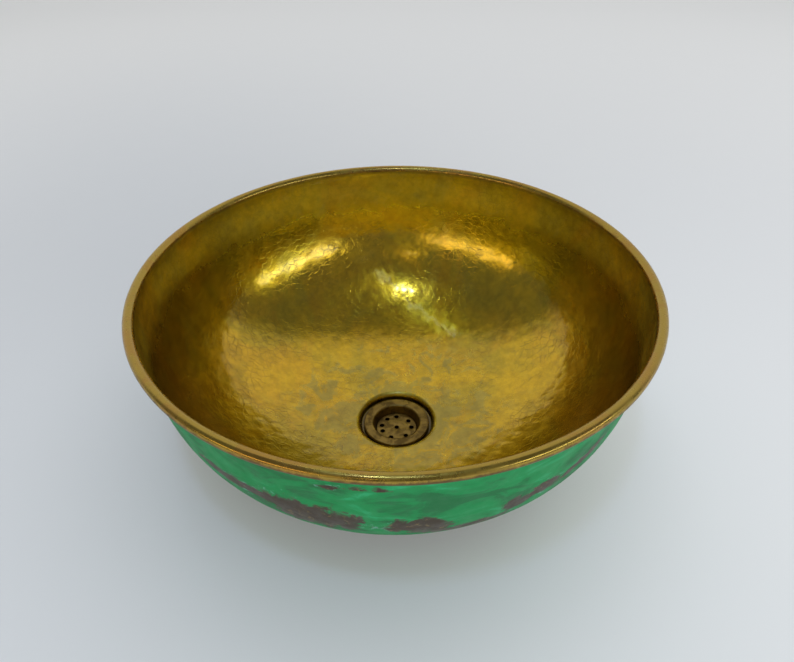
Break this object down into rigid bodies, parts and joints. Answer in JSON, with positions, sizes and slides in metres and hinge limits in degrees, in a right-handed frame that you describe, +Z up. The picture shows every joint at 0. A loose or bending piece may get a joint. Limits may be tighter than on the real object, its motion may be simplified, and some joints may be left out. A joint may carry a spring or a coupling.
{
  "type": "washbasin",
  "caption": "Round hammered brass vessel basin with a wired rim and green patina outside, a recessed drilled grid waste, and a threaded shank, nut and tailpiece that clamp it to a countertop.",
  "frame": {"origin": "centre of the rest gasket's underside, on the countertop, on the bowl's axis", "axes": "+Z up along the bowl's axis, from the countertop to the rim; X and Y are alike except for the strainer's drilled holes"},
  "size_m": [0.406, 0.406, 0.3005],
  "materials": {
    "hammered_brass": "hammered, golden and unlacquered inside, green patina with bare brown patches outside",
    "rim_wire_steel": "drawn wire, hidden in the rolled rim",
    "antique_brass": "turned and darkened",
    "turned_brass": "turned, bright",
    "black_rubber": "matt",
    "white_nylon": "natural nylon"
  },
  "bodies": {
    "basin": {"basin_shell": "hammered_brass", "rim_wire": "rim_wire_steel", "waste_body": "antique_brass", "rest_gasket": "black_rubber", "flange_seal": "black_rubber", "tail_washer": "black_rubber", "coupling_nut": "turned_brass", "tailpiece": "turned_brass"},
    "strainer": {"strainer_plate": "antique_brass"},
    "clamp_washers": {"counter_washer": "black_rubber", "slip_washer": "white_nylon"},
    "clamp_nut": {"lock_nut": "turned_brass"}
  },
  "joints": [
    {"name": "strainer_lift", "type": "slide", "parent": "basin", "child": "strainer", "axis": [0, 0, 1], "range_m": [0, 0.17]},
    {"name": "washer_slide", "type": "slide", "parent": "basin", "child": "clamp_washers", "axis": [0, 0, 1], "range_m": [-0.00925, 0.00694]},
    {"name": "nut_turn", "type": "hinge", "parent": "clamp_washers", "child": "clamp_nut", "pos_m": [0, 0, -0.031], "axis": [0, 0, 1], "range_deg": [-1440, 1080]}
  ],
  "couplings": [
    {"joint": "washer_slide", "follows": "nut_turn", "m_per_rad": 0.0003675}
  ]
}
